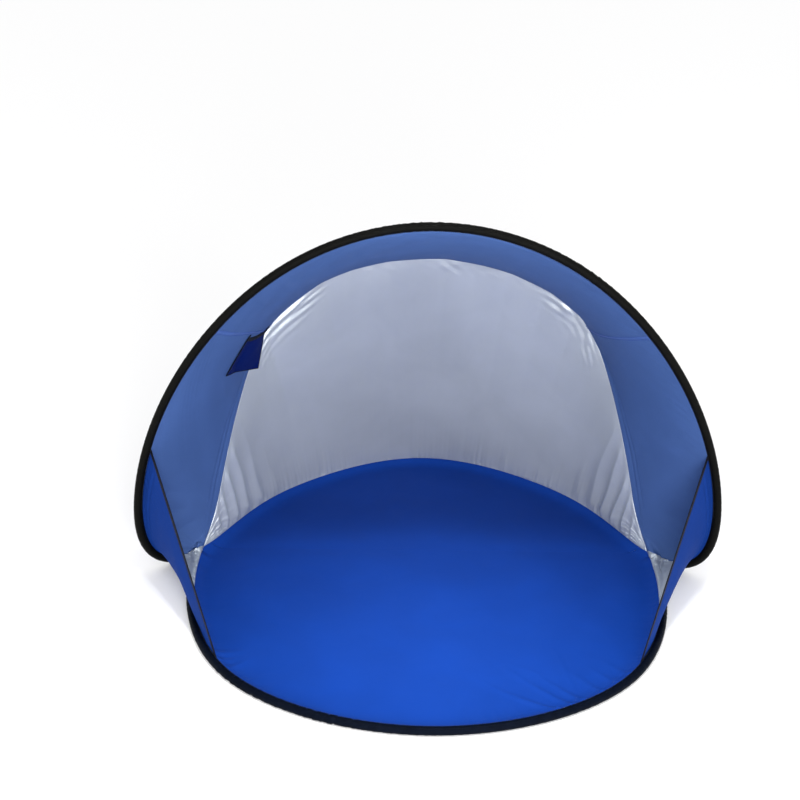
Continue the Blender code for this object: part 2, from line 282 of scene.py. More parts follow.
def read_at(wanted, marks, rows):
    """Rows of coordinates that are known at the marks, read at the wanted places."""
    return np.stack([np.interp(wanted, marks, rows[:, k]) for k in range(3)], axis=-1)


def mirrored(half):
    return [(-x, y, z) for x, y, z in reversed(half)]


def rear_plane(x, z):
    return (x, GATHER_Y + (z - GATHER_Z) / math.tan(REAR_LEAN), z)


def shares_of(count):
    """Numbers from 0 to 1 at equal steps."""
    return np.linspace(0.0, 1.0, count)


def turns_round(count):
    """Angles at equal steps round a full turn."""
    return np.linspace(0.0, FULL_TURN, count, endpoint=False)


def length_along(points):
    """Distance along a row of points, from its first one."""
    return np.concatenate([[0.0], np.cumsum(np.linalg.norm(np.diff(points, axis=0), axis=1))])


HOOP_A = Loop([A_TOP] + A_HALF + [A_BACK] + mirrored(A_HALF))
B_RIGHT = B_RIM + [rear_plane(x, z) for x, z in B_ARCH]
HOOP_B = Loop([B_FRONT] + B_RIGHT + [rear_plane(0.0, B_ARCH_TOP)] + mirrored(B_RIGHT))

A_CROSS = HOOP_A.find(0.0, 0.5, lambda p: not (p[2] < 0.02 and p[1] > CORNER[1] + 0.004))
B_CROSS = HOOP_B.find(0.05, 0.3, lambda p: p[2] < B_RIM[-1][2])
SLEEVES = Sleeves((HOOP_A, HOOP_B))
for hoop, crossing in ((HOOP_A, A_CROSS), (HOOP_B, B_CROSS)):
    hoop.gather(crossing)
    hoop.sew(SLEEVES)
A_SEAM = HOOP_A.find(0.0, A_CROSS, lambda p: p[2] > SEAM_FRONT_Z)
B_SEAM = HOOP_B.find(B_CROSS, 0.5, lambda p: p[2] < SEAM_REAR_Z)
A_BINDING = HOOP_A.find(0.0, A_CROSS, lambda p: p[2] > BINDING_TOP_Z)
B_BINDING = HOOP_B.find(0.0, B_CROSS, lambda p: p[1] < BINDING_FOOT_Y)


# ---- materials ----
WAVE_SCALE = 0.314        # scale of a Wave texture that repeats once a metre


class Shader:
    """Node tree of one material, with short calls for the nodes it needs."""

    def __init__(self, name, color, roughness, metallic=0.0, specular=0.3):
        self.made = bpy.data.materials.new(name)
        self.made.use_nodes = True
        self.made.diffuse_color = (*color, 1.0)
        self.tree = self.made.node_tree
        self.out = self.tree.nodes["Principled BSDF"]
        self.color = color
        self.out.inputs["Base Color"].default_value = (*color, 1.0)
        self.out.inputs["Roughness"].default_value = roughness
        self.out.inputs["Metallic"].default_value = metallic
        self.out.inputs["Specular IOR Level"].default_value = specular
        self.place = self.node("ShaderNodeTexCoord", {}).outputs["Object"]

    def node(self, kind, inputs, **settings):
        """A new node, with its settings and the values of its unlinked inputs."""
        made = self.tree.nodes.new(kind)
        for name, value in settings.items():
            setattr(made, name, value)
        for name, value in inputs.items():
            made.inputs[name].default_value = value
        return made

    def join(self, source, target):
        self.tree.links.new(source, target)

    def noise(self, scale, detail=3.0, distortion=0.0):
        inputs = {"Scale": scale, "Detail": detail, "Distortion": distortion}
        made = self.node("ShaderNodeTexNoise", inputs)
        self.join(self.place, made.inputs["Vector"])
        return made.outputs["Fac"]

    def threads(self, pitch):
        """A plain weave: bands along each axis, added together."""
        total = None
        inputs = {"Scale": WAVE_SCALE / pitch, "Distortion": 0.6, "Detail": 1.0}
        for direction in ("X", "Y", "Z"):
            wave = self.node("ShaderNodeTexWave", inputs, bands_direction=direction)
            self.join(self.place, wave.inputs["Vector"])
            if total is None:
                total = wave.outputs["Fac"]
            else:
                added = self.node("ShaderNodeMath", {}, operation="ADD")
                self.join(total, added.inputs[0])
                self.join(wave.outputs["Fac"], added.inputs[1])
                total = added.outputs[0]
        return total

    def tint(self, value, low, high):
        """Base colour runs from low to high times the material's colour as value goes 0 to 1."""
        colors = self.node("ShaderNodeValToRGB", {})
        for end, share in zip(colors.color_ramp.elements, (low, high)):
            end.color = (*[min(1.0, part * share) for part in self.color], 1.0)
        self.join(value, colors.inputs["Fac"])
        self.join(colors.outputs["Color"], self.out.inputs["Base Color"])

    def roughness(self, value, low, high):
        """Roughness runs from low to high as value goes from 0 to 1."""
        laid = self.node("ShaderNodeMapRange", {"To Min": low, "To Max": high})
        self.join(value, laid.inputs["Value"])
        self.join(laid.outputs["Result"], self.out.inputs["Roughness"])

    def bumps(self, *layers):
        """Stack of bumps, each a value with its height in metres."""
        last = None
        for value, height in layers:
            bump = self.node("ShaderNodeBump", {"Distance": height, "Strength": 1.0})
            self.join(value, bump.inputs["Height"])
            if last is not None:
                self.join(last, bump.inputs["Normal"])
            last = bump.outputs["Normal"]
        self.join(last, self.out.inputs["Normal"])


def polyester(name, color, roughness, crinkle=0.0012, **more):
    """Thin woven polyester: fine threads, soft crinkles and a slightly uneven dye."""
    cloth = Shader(name, color, roughness, **more)
    patches = cloth.noise(5.0, 4.0, distortion=0.4)
    cloth.tint(patches, 0.86, 1.14)
    cloth.roughness(cloth.noise(9.0, 3.0), roughness - 0.07, roughness + 0.07)
    cloth.bumps((cloth.threads(0.0013), 0.00005),
                (cloth.noise(38.0, 3.0, distortion=0.8), crinkle * 0.35),
                (cloth.noise(11.0, 2.0, distortion=0.5), crinkle))
    return cloth.made


def webbing(name, color, roughness, crinkle=0.0008, **more):
    """Heavy black sleeve cloth: coarser threads, creases, and colour lighter on the crease tops,
    part scuffing and part painted highlight.
    """
    cloth = Shader(name, color, roughness, **more)
    scuffs_and_highlights = cloth.noise(60.0, 5.0, distortion=1.0)
    # The same noise raises the creases and lightens the colour on their tops: part scuffing, part
    # painted highlight.
    cloth.tint(scuffs_and_highlights, 0.6, 1.7)
    cloth.roughness(cloth.noise(45.0, 3.0), roughness - 0.14, roughness + 0.10)
    cloth.bumps((cloth.threads(0.0010), 0.00008), (scuffs_and_highlights, crinkle))
    return cloth.made


def steel():
    """Bright spring steel with fine draw lines."""
    metal = Shader("spring_steel_drawn", (0.46, 0.47, 0.48), 0.3, metallic=1.0)
    metal.roughness(metal.noise(400.0, 4.0), 0.22, 0.42)
    metal.tint(metal.noise(90.0, 2.0), 0.85, 1.1)
    metal.bumps((metal.noise(700.0, 2.0), 0.00003))
    return metal.made


# The canopy's inner face is paler than its outer face: painted glow of light shining through the
# thin cloth.
CANOPY_INSIDE_PAINTED_GLOW = polyester("canopy_inside_painted_glow", (0.040, 0.080, 0.215), 0.60, specular=0.06)
BLUE_OUTSIDE = polyester("blue_outside", (0.0058, 0.028, 0.165), 0.60, 0.0020, specular=0.008)
SILVER = polyester("silver_coating", (0.450, 0.485, 0.520), 0.37, 0.0009, metallic=0.50)
SILVER_SIDE = polyester("silver_coating_side", (0.400, 0.440, 0.480), 0.33, 0.0034, metallic=0.55)
FLOOR_TOP = polyester("floor_top", (0.0038, 0.032, 0.215), 0.50, 0.0010, specular=0.04)
FLOOR_UNDER = polyester("floor_under", (0.010, 0.030, 0.160), 0.6, 0.0008)
SEAM_TAPE = polyester("seam_tape", (0.040, 0.085, 0.260), 0.6, 0.0006)
POCKET_CLOTH = polyester("pocket_cloth", (0.0015, 0.0070, 0.070), 0.60, 0.0008, specular=0.03)
SLEEVE_CLOTH = webbing("sleeve_cloth", (0.0024, 0.0024, 0.0022), 0.45, specular=0.03)
RIM_CLOTH = webbing("rim_cloth", (0.0012, 0.0022, 0.0055), 0.42, 0.0015, specular=0.015)
BINDING_CLOTH = webbing("binding_cloth", (0.0035, 0.0040, 0.0080), 0.50, specular=0.06)
THREAD_BLACK = webbing("thread_black", (0.0140, 0.0145, 0.0160), 0.6)
THREAD_BLUE = webbing("thread_blue", (0.020, 0.050, 0.220), 0.6)
STEEL = steel()


# ---- mesh helpers ----
def link(name, mesh, *finishes):
    item = bpy.data.objects.new(name, mesh)
    for finish in finishes:
        mesh.materials.append(finish)
    bpy.context.scene.collection.objects.link(item)
    return item


def smooth_mesh(name, points, faces):
    mesh = bpy.data.meshes.new(name)
    mesh.from_pydata(points.reshape(-1, 3).tolist(), [], faces)
    mesh.shade_smooth()
    return mesh


def grid_mesh(name, points, wrap=False):
    """Quads over a grid of points, rows by columns; wrap joins the last column to the first."""
    rows, columns = points.shape[:2]
    number = np.arange(rows * columns).reshape(rows, columns)
    after = np.roll(number, -1, axis=1)
    if not wrap:
        number, after = number[:, :-1], after[:, :-1]
    quads = np.stack([number[:-1], after[:-1], after[1:], number[1:]], axis=-1).reshape(-1, 4)
    return smooth_mesh(name, points, quads.tolist())


def normals(points):
    """Unit normals of a grid of points, turned away from the tent's middle."""
    across = np.gradient(points, axis=0)
    along = np.gradient(points, axis=1)
    facing = unit(np.cross(along, across))
    outward = (facing * (points - MIDDLE)).sum(axis=-1, keepdims=True)
    return facing * np.sign(np.mean(outward))


def cloth_piece(name, points, outside, inside):
    """A two-faced sheet: its grid is the outer face, and the inner one lies a cloth's depth in."""
    mesh = grid_mesh(name, points)
    row, column = points.shape[0] // 2, points.shape[1] // 2
    face = mesh.polygons[row * (points.shape[1] - 1) + column]
    if np.dot(np.array(face.normal), normals(points)[row, column]) < 0.0:
        mesh.flip_normals()
    item = link(name, mesh, outside, inside)
    shell = item.modifiers.new("cloth", "SOLIDIFY")
    shell.thickness = CLOTH
    shell.offset = -1.0
    shell.material_offset = 1
    item.modifiers.new("flat_rim", "WEIGHTED_NORMAL").weight = 90
    return item


def ripple(distance, pitch, seed, octaves=3):
    """Smooth uneven waves along a distance, between about -1 and 1, with no fixed beat."""
    random = np.random.RandomState(seed)
    total = np.zeros_like(distance)
    for octave in range(octaves):
        share = 0.62**octave
        for _ in range(3):
            length = pitch * 0.6**octave * random.uniform(0.7, 1.5)
            phase = random.uniform(0.0, FULL_TURN)
            total += share * np.sin(FULL_TURN * distance / length + phase)
    return total / 3.6


def field(x, y, pitch, seed, stretch=1.0):
    """Smooth uneven waves over two distances; stretch draws them out along y."""
    random = np.random.RandomState(seed)
    total = np.zeros_like(x)
    for _ in range(9):
        turn = random.uniform(0.0, math.pi)
        length = pitch * random.uniform(0.6, 1.7)
        phase = random.uniform(0.0, FULL_TURN)
        way = x * math.cos(turn) + y / stretch * math.sin(turn)
        total += np.sin(FULL_TURN * way / length + phase)
    return total / 4.5


COARSE = (40, 160)        # rows and columns of the grid on which tension is worked out
TENSION_ROUNDS = 900
SMOOTH_ROUNDS = 12
DRAPE_ROUNDS = 10
END_REACH = 0.07          # share of a row over which its points crowd towards each end


def around(points):
    """Mean of the four neighbours of each inner point of a grid."""
    return 0.25 * (points[1:-1, 2:] + points[1:-1, :-2] + points[2:, 1:-1] + points[:-2, 1:-1])


def relaxed(points, share):
    """The grid pulled part of the way to where tension would draw it, with its edges held."""
    rows, columns = points.shape[:2]
    picked = np.rint(np.linspace(0, rows - 1, COARSE[0])).astype(int)
    chosen = np.rint(np.linspace(0, columns - 1, COARSE[1])).astype(int)
    start = points[picked][:, chosen]
    slack = start.copy()
    for _ in range(TENSION_ROUNDS):
        slack[1:-1, 1:-1] = around(slack)
    shift = (slack - start) * share
    wide = np.stack([read_at(np.arange(columns), chosen, row) for row in shift])
    full = np.stack([read_at(np.arange(rows), picked, wide[:, column])
                     for column in range(columns)], axis=1)
    for _ in range(SMOOTH_ROUNDS):
        full[1:-1, 1:-1] = around(full)
    return points + full


def crowded_at(count, first, last):
    """Shares from 0 to 1, up to first and last times closer together at the two ends."""
    even = shares_of(FINE)
    density = 1.0 + first * np.exp(-even / END_REACH) + last * np.exp((even - 1.0) / END_REACH)
    grown = np.concatenate([[0.0], np.cumsum(0.5 * (density[1:] + density[:-1]))])
    return np.interp(shares_of(count), grown / grown[-1], even)


def draped(points):
    """The grid laid over the sleeves that it would pass through, with its edges held."""
    edges = [points[0].copy(), points[-1].copy(), points[:, 0].copy(), points[:, -1].copy()]
    for number in range(DRAPE_ROUNDS):
        if number:
            points[1:-1, 1:-1] = 0.5 * points[1:-1, 1:-1] + 0.5 * around(points)
        points = SLEEVES.clear(points, PASS_GAP)
    points[0], points[-1], points[:, 0], points[:, -1] = edges
    return points


def loft(first, last, shares):
    """Rows of points between two edges; shares says how far across each row lies."""
    return first[None] + (last - first)[None] * shares[:, None, None]


# ---- sleeves, wires and stitching ----
SLEEVE_SIDES = 22
SLEEVE_STEP = 0.005       # spacing of a sleeve's rings along its hoop
FLANGE = 0.0009           # height of the seam ridge where panels are sewn on
FLANGE_TURN = 0.20        # half its width, in radians
SEWN_TURN = 0.35          # how far round the sleeve the seam holds it smooth
SEWN_HOLD = 0.92          # share of the folds that it takes away
SLEEVE_SHARE = 0.965      # the sleeve's mean radius, which leaves room for its folds
WIRE_SIDES = 10
WIRE_STEP = 0.008
GROUND_GAP = 0.0004
STITCH_LENGTH = 0.0034
STITCH_PITCH = 0.0052
STITCH_R = 0.0006
STITCH_LINE_STEP = 0.006
STITCH_SUNK = 0.985       # stitches lie at this share of the sleeve's radius
STITCH_TURN = 0.42        # how far round a sleeve its stitching is from the seam, in radians


def tube_grid(hoop, u, radii, turns):
    """Rings of points round a hoop; radii is one row for each ring."""
    centre, _, inward, side = hoop_frame(hoop, u)
    ring = np.cos(turns)[None, :, None] * inward[:, None] + (
        np.sin(turns)[None, :, None] * side[:, None])
    return centre[:, None] + ring * radii[..., None]


def along_hoop(hoop, start, stop, step):
    count = int(length_along(hoop.at(np.linspace(start, stop, 400)))[-1] / step) + 2
    return hoop.even(start, stop, count)


def sleeve(name, hoop, start, stop, finish, seed, slack, crumpled=(), swell=()):
    """Fabric tube round a wire.

    crumpled lists looser runs and swell lists thicker ones: place along it, reach, and amount.
    """
    u = along_hoop(hoop, start, stop, SLEEVE_STEP)
    turns = turns_round(SLEEVE_SIDES)
    far = length_along(hoop.at(u))[:, None] + 0.0 * turns[None]
    round_it = np.minimum(turns, FULL_TURN - turns)[None] + 0.0 * far
    amount = slack * (0.45 + 0.55 * ramp(ripple(far, 0.5, seed + 1), -0.2, 0.9))
    for place, reach, more in crumpled:
        amount = amount + more * bell((far - place) / reach)
    skew = far + 0.010 * turns[None] / math.pi
    folds = ripple(skew, 0.026, seed) + 0.8 * ripple(skew - 0.03 * round_it, 0.015, seed + 2)
    held = SEWN_HOLD * bell(round_it / SEWN_TURN)
    radii = SLEEVE_R * SLEEVE_SHARE + amount * folds * (1.0 - held)
    for place, reach, more in swell:
        radii = radii + more * bell((far - place % far[-1, 0]) / reach)
    radii += FLANGE * bell(round_it / FLANGE_TURN)
    points = tube_grid(hoop, u, radii, turns)
    points[..., 2] = np.maximum(points[..., 2], GROUND_GAP)
    return link(name, grid_mesh(name, points, wrap=True), finish)


def wire(name, hoop, start, stop):
    u = along_hoop(hoop, start, stop, WIRE_STEP)
    points = tube_grid(hoop, u, np.full((len(u), WIRE_SIDES), WIRE_R), turns_round(WIRE_SIDES))
    return link(name, grid_mesh(name, points, wrap=True), STEEL)


def stitches(name, line, lift, finish):
    """A row of thread stitches along a line, each raised a little off the cloth along lift."""
    far = length_along(line)
    starts = np.arange(STITCH_PITCH, far[-1] - STITCH_PITCH, STITCH_PITCH)
    up = unit(read_at(starts, far, lift))
    first, last = read_at(starts, far, line), read_at(starts + STITCH_LENGTH, far, line)
    way = unit(last - first)
    side = np.cross(way, up)
    rings = []
    for share, size in ((0.0, 0.25), (0.2, 1.0), (0.8, 1.0), (1.0, 0.25)):
        middle = first + (last - first) * share + up * STITCH_R * (size - 0.4)
        for a, b in ((1, 0), (0, 1), (-1, 0), (0, -1)):
            rings.append(middle + (side * a + up * b) * STITCH_R * size)
    ends = [(3, 2, 1, 0), (12, 13, 14, 15)]
    walls = [(4 * i + j, 4 * i + (j + 1) % 4, 4 * i + 4 + (j + 1) % 4, 4 * i + 4 + j)
             for i in range(3) for j in range(4)]
    faces = [tuple(16 * k + i for i in face) for k in range(len(starts)) for face in ends + walls]
    return link(name, smooth_mesh(name, np.stack(rings, axis=1), faces), finish)


def sleeve_stitches(name, hoop, start, stop, turn):
    """Stitching along a sleeve, at an angle round it from the seam."""
    u = along_hoop(hoop, start, stop, STITCH_LINE_STEP)
    centre, _, inward, side = hoop_frame(hoop, u)
    out = inward * math.cos(turn) + side * math.sin(turn)
    return stitches(name, centre + out * SLEEVE_R * STITCH_SUNK, out, THREAD_BLACK)


# Where each hoop is parted into its runs.
A_PART = HOOP_A.find(0.2, A_CROSS, lambda p: p[1] < 0.088)
B_PART = HOOP_B.find(0.05, 0.27, lambda p: p[1] < 0.113)


def fit(piece, run, slot, *nodes):
    """Bake a piece's place into its mesh, and let it stand for its CAD nodes by hiding them."""
    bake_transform(piece)
    if nodes:
        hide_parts(*nodes)


def hoops():
    """Both sprung hoops: sleeves, wires and the stitching that closes each sleeve."""
    runs = [
        ("rear_rim", HOOP_A, A_PART, 1.0 - A_PART, SLEEVE_CLOTH, 0.00055, (), ()),
        ("front_arch", HOOP_A, -A_PART, A_PART, SLEEVE_CLOTH, 0.00045,
         ((1.55, 0.16, 0.0007), (2.05, 0.10, 0.0010)),
         ((0.17, 0.11, 0.0019), (-0.17, 0.11, 0.0019))),
        ("rear_arch", HOOP_B, B_PART, 1.0 - B_PART, SLEEVE_CLOTH, 0.0005, (), ()),
        ("front_rim", HOOP_B, -B_PART, B_PART, RIM_CLOTH, 0.0006,
         ((0.72, 0.10, 0.0016), (0.98, 0.12, 0.0013)), ()),
    ]
    for number, (run, hoop, start, stop, finish, slack, crumpled, swell) in enumerate(runs):
        cover = sleeve(run + "_cover", hoop, start, stop, finish, SEED + 10 * number, slack,
                       crumpled, swell)
        stretches = (run, "left_corner", "right_corner") if run == "rear_arch" else (run,)
        fit(cover, run, "sleeve_black", *[stretch + "_sleeve" for stretch in stretches])
        bar = wire(run + "_bar", hoop, start, stop)
        fit(bar, run, "spring_steel", *[stretch + "_wire" for stretch in stretches])
        for side, turn in (("inner", STITCH_TURN), ("outer", -STITCH_TURN)):
            row = sleeve_stitches(run + "_stitching_" + side, hoop, start, stop, turn)
            fit(row, run, "sleeve_black")


# ---- panels between the hoops ----
SIDE_COLUMNS = 190
ROOF_COLUMNS = 260
CANOPY_ROWS = 80
WALL_COLUMNS = 560
WALL_ROWS = 136
EDGE_COLUMNS = 170
EDGE_ROWS = 84
HEM_COLUMNS = 600
WALL_CROWDING = (5.0, 6.0)
CANOPY_TENSION = 0.45     # how far a panel is drawn to where tension alone would put it
WALL_TENSION = 0.32
SIDE_TENSION = 0.35
CANOPY_EDGE = 0.030       # how far from a panel's seams its folds start to fade
WALL_EDGE = 0.010
SIDE_EDGE = 0.008
RAYS_ARM = 0.10           # distance from the corner at which the crinkles' pitch is measured
SEAM_TAPE_WIDTH = 0.011

# Section of a seam tape: share of half its width, and height off the canopy.
TAPE_SECTION = ((-1.0, 0.0009), (-0.94, 0.0016), (0.0, 0.0018), (0.94, 0.0016), (1.0, 0.0009))
TAPE_STITCHING = (("a", -0.72), ("b", 0.72))
THREAD_HEIGHTS = (0.0019, 0.0003)         # off the canopy, inside and outside

# The wall and the canopy are pulled nearly straight between these points of the rear arch.
ARCH_CORNERS = (0.3813, 0.4132, 0.4371, 0.4600, 0.4930, 0.5195, 0.5375, 0.5543, 0.6060, 0.6300)
ARCH_PULL = 0.17          # depth of the pull, per square metre between two such points
HEM_TUCK = 0.0014         # how deep in the sleeve the rear arch's hem starts


def arch_pull(u):
    """How far the rear arch's inner seam stands in from its sleeve."""
    marks = shares_of(FINE)
    along = length_along(HOOP_B.at(marks))
    far = np.interp(u, marks, along)
    stops = np.interp(ARCH_CORNERS, marks, along)
    pull = np.zeros_like(far)
    for low, high in zip(stops, stops[1:]):
        inside = (far >= low) & (far <= high)
        pull[inside] = 4.0 * ARCH_PULL * (far[inside] - low) * (high - far[inside])
    return pull


def lifted(points, lift):
    """A grid of cloth moved outward by lift."""
    return points + normals(points) * lift[..., None]


def distances(points):
    """Distance of each grid point along its row, and along its column from both edges."""
    along = np.linalg.norm(np.diff(points, axis=1), axis=2)
    along = np.concatenate([np.zeros((points.shape[0], 1)), np.cumsum(along, axis=1)], axis=1)
    across = np.linalg.norm(np.diff(points, axis=0), axis=2)
    down = np.concatenate([np.zeros((1, points.shape[1])), np.cumsum(across, axis=0)])
    return along, down, down[-1] - down


# Soft folds of the canopy: place along the front arch from the right as a share, width in
# metres, how far the place moves on the way back, height, and the shares of depth it spans.
FOLDS_LENGTH = 3.0        # about the length of the front arch
CANOPY_FOLDS = (
    (0.915, 0.030, 0.050, 0.0045, 0.05, 0.55), (0.885, 0.036, 0.070, 0.0040, 0.10, 0.80),
    (0.950, 0.024, 0.020, 0.0030, 0.10, 0.70), (0.085, 0.036, -0.050, 0.0030, 0.05, 0.60),
    (0.560, 0.016, 0.020, 0.0016, 0.00, 0.45), (0.585, 0.014, 0.030, 0.0016, 0.05, 0.60),
    (0.630, 0.016, 0.040, 0.0020, 0.10, 0.75), (0.655, 0.016, 0.045, 0.0018, 0.05, 0.60),
    (0.700, 0.018, 0.040, 0.0020, 0.30, 0.95), (0.420, 0.016, -0.020, 0.0016, 0.05, 0.50),
    (0.370, 0.018, -0.030, 0.0018, 0.20, 0.80), (0.300, 0.020, -0.040, 0.0020, 0.10, 0.85),
)


def canopy():
    """The canopy, three panels on one continuous tensioned surface, with its two cross seams."""
    side_a = HOOP_A.even(A_CROSS, A_SEAM, SIDE_COLUMNS)
    side_b = HOOP_B.even(B_CROSS, B_SEAM, SIDE_COLUMNS)
    roof_a = HOOP_A.even(A_SEAM, -A_SEAM, ROOF_COLUMNS)[1:-1]
    roof_b = HOOP_B.even(B_SEAM, 1.0 - B_SEAM, ROOF_COLUMNS)[1:-1]
    u_a = np.concatenate([side_a, roof_a, -side_a[::-1]])
    u_b = np.concatenate([side_b, roof_b, 1.0 - side_b[::-1]])
    first = HOOP_A.seam(u_a)
    last = HOOP_B.seam(u_b, arch_pull(u_b))
    points = relaxed(loft(first, last, shares_of(CANOPY_ROWS)), CANOPY_TENSION)
    points = draped(points)

    # Broad billows first, then fine wrinkles beside each arch, folds, and ridges at the wall.
    along, down, up = distances(points)
    lift = 0.0016 * field(along, down, 0.22, SEED + 50, 2.5)
    lift += 0.0007 * ripple(along + 0.5 * down, 0.035, SEED + 51) * bell(down / 0.10)
    lift += 0.0005 * ripple(along - 0.6 * up, 0.028, SEED + 52) * bell(up / 0.05)
    run = along / along[:, -1:]
    share = down / (down + up)
    for place, width, slope, height, start, stop in CANOPY_FOLDS:
        across = (run - place - slope * share) * FOLDS_LENGTH / width
        held = ramp(share, start - 0.12, start + 0.05)
        held = held * (1.0 - ramp(share, stop - 0.15, stop + 0.05))
        lift += height * crest(across) * held
    beside = ramp(run, 0.02, 0.10) * (1.0 - ramp(run, 0.22, 0.30))
    beside += ramp(run, 0.70, 0.78) * (1.0 - ramp(run, 0.90, 0.98))
    lift += 0.0024 * beside * (bell((up - 0.024) / 0.006) + 0.6 * bell((up - 0.043) / 0.006))
    points = lifted(points, lift * ramp(np.minimum(down, up), 0.0, CANOPY_EDGE))

    seams = (SIDE_COLUMNS - 1, SIDE_COLUMNS + ROOF_COLUMNS - 2)
    parts = [("right", slice(0, seams[0] + 1), "canopy_side_right"),
             ("roof", slice(seams[0], seams[1] + 1), "canopy_roof"),
             ("left", slice(seams[1], None), "canopy_side_left")]
    for word, span, node in parts:
        piece = cloth_piece("canopy_cloth_" + word, points[:, span], BLUE_OUTSIDE, CANOPY_INSIDE_PAINTED_GLOW)
        fit(piece, "canopy", "canopy_blue", node)
    for word, column in (("right", seams[0]), ("left", seams[1])):
        seam_tape("canopy_seam_" + word, points, column)
    return points


def seam_tape(name, points, column):
    """A felled seam: a narrow double strip inside the canopy, with its two rows of stitches."""
    inward = -normals(points)
    line = points[:, column]
    up = inward[:, column]
    across = unit(np.gradient(points, axis=1)[:, column])
    widen = 0.5 * SEAM_TAPE_WIDTH * (1.0 + 0.5 * ramp(np.linspace(1.0, 0.0, len(line)), 0.5, 1.0))
    rows = []
    for share, proud in TAPE_SECTION:
        rows.append(line + across * (widen * share)[:, None] + up * proud)
    tape = link(name, grid_mesh(name, np.stack(rows)), SEAM_TAPE)
    fit(tape, "canopy", "canopy_blue")
    for word, share in TAPE_STITCHING:
        for face, facing, height in zip(("inside", "outside"), (up, -up), THREAD_HEIGHTS):
            row = line + across * (widen * share)[:, None] + facing * height
            threads = stitches("%s_%s_thread_%s" % (name, face, word), row, facing, THREAD_BLUE)
            fit(threads, "canopy", "canopy_blue")


def rear_arch_hem():
    """The sleeve's hem, which reaches to the scalloped seam where that stands in from it."""
    u = HOOP_B.even(ARCH_CORNERS[0], ARCH_CORNERS[-1], HEM_COLUMNS)
    points = loft(HOOP_B.seam(u, -HEM_TUCK), HOOP_B.seam(u, arch_pull(u)), shares_of(4))
    hem = cloth_piece("rear_arch_hem", points, SLEEVE_CLOTH, SLEEVE_CLOTH)
    fit(hem, "rear_arch", "sleeve_black")


# Folds of the back wall: place along the rim as a share from the right, width, height, reach.
WALL_FOLDS = (
    (0.163, 0.020, 0.0110, 0.30), (0.128, 0.018, 0.0160, 0.26), (0.096, 0.015, 0.0170, 0.20),
    (0.069, 0.012, 0.0130, 0.14), (0.046, 0.009, 0.0080, 0.09), (0.028, 0.006, 0.0045, 0.05),
    (0.198, 0.018, 0.0050, 0.16), (0.974, 0.006, 0.0045, 0.05), (0.957, 0.009, 0.0080, 0.09),
    (0.934, 0.012, 0.0130, 0.15), (0.905, 0.016, 0.0180, 0.24), (0.872, 0.019, 0.0170, 0.28),
    (0.834, 0.021, 0.0110, 0.24), (0.795, 0.018, 0.0050, 0.16),
)

# Wrinkles below the rear arch: place along it as a share from the right, reach to each side, how
# far down they go, height and pitch.  Ridges run along the arch, at a slant; crumples run any way.
TOP_RIDGES = (
    (0.692, 0.034, 0.062, 0.0030, 0.0300, 0.16), (0.664, 0.024, 0.050, 0.0018, 0.0210, -0.14),
    (0.738, 0.014, 0.045, 0.0020, 0.0200, 0.35), (0.330, 0.024, 0.050, 0.0014, 0.0260, -0.20),
)
TOP_CRUMPLES = (
    (0.310, 0.038, 0.060, 0.0022, 0.040), (0.268, 0.020, 0.080, 0.0019, 0.034),
    (0.475, 0.032, 0.060, 0.0011, 0.032), (0.740, 0.018, 0.070, 0.0016, 0.030),
    (0.560, 0.040, 0.040, 0.0008, 0.030), (0.400, 0.040, 0.040, 0.0008, 0.034),
)


def rays(points, reach, seed):
    """Crinkles that run out of the corner as far as reach, between about -1 and 1."""
    away = points - CORNER
    away[..., 0] = np.abs(points[..., 0]) - CORNER[0]
    distance = np.linalg.norm(away, axis=-1)
    turn = np.arctan2(away[..., 2], -away[..., 0])
    held = ramp(distance, 0.006, 0.040) * bell(distance / reach)
    return held * ripple(RAYS_ARM * turn + 0.05 * (points[..., 0] > 0.0), 0.026, seed)


def back_wall():
    """The back wall, silver inside, with folds rising from the corners and gathers at its foot."""
    u_a = HOOP_A.even(A_CROSS, 1.0 - A_CROSS, WALL_COLUMNS)
    u_b = HOOP_B.even(B_CROSS, 1.0 - B_CROSS, WALL_COLUMNS)
    first = HOOP_B.seam(u_b, arch_pull(u_b))
    last = HOOP_A.seam(u_a)
    rows = crowded_at(WALL_ROWS, *WALL_CROWDING)
    points = draped(relaxed(loft(first, last, rows), WALL_TENSION))

    # Broad billows, folds from the corners, gathers at the foot, and wrinkles below the arch.
    _, down, up = distances(points)
    rim = length_along(last)[None] + 0.0 * up
    share = rim / rim[0, -1]
    lift = 0.0022 * field(rim, up, 0.30, SEED + 60, 2.0)
    rooted = (0.25 + 0.75 * ramp(up, 0.0, 0.050)) * ramp(down, 0.0, 0.055)
    for place, width, height, reach in WALL_FOLDS:
        across = (rim - place * rim[0, -1] + 0.004 * np.sin(up / 0.045 + 40.0 * place)) / width
        lift -= height * crest(across) * bell(up / reach) * rooted
    loose = 0.35 + ramp(ripple(rim, 0.22, SEED + 62), -0.3, 0.8)
    lift += 0.0034 * np.exp(-up / 0.024) * ripple(rim, 0.021, SEED + 61) * loose
    lift += 0.0020 * np.exp(-up / 0.080) * ripple(rim, 0.052, SEED + 63)
    lift += 0.0016 * rays(points, 0.15, SEED + 66)
    for place, reach, deep, height, pitch, slant in TOP_RIDGES:
        wave = (down + slant * (share - place)) / pitch
        held = bell((share - place) / reach) * bell(down / deep)
        lift += height * held * np.sin(FULL_TURN * wave)
    for place, reach, deep, height, pitch in TOP_CRUMPLES:
        held = bell((share - place) / reach) * bell(down / deep)
        lift += height * held * field(rim, down, pitch, SEED + 64, 0.7)
    points = lifted(points, lift * ramp(np.minimum(down, up), 0.0, WALL_EDGE))

    piece = cloth_piece("back_wall_cloth", points, BLUE_OUTSIDE, SILVER)
    fit(piece, "wall", "wall_silver", "back_wall")


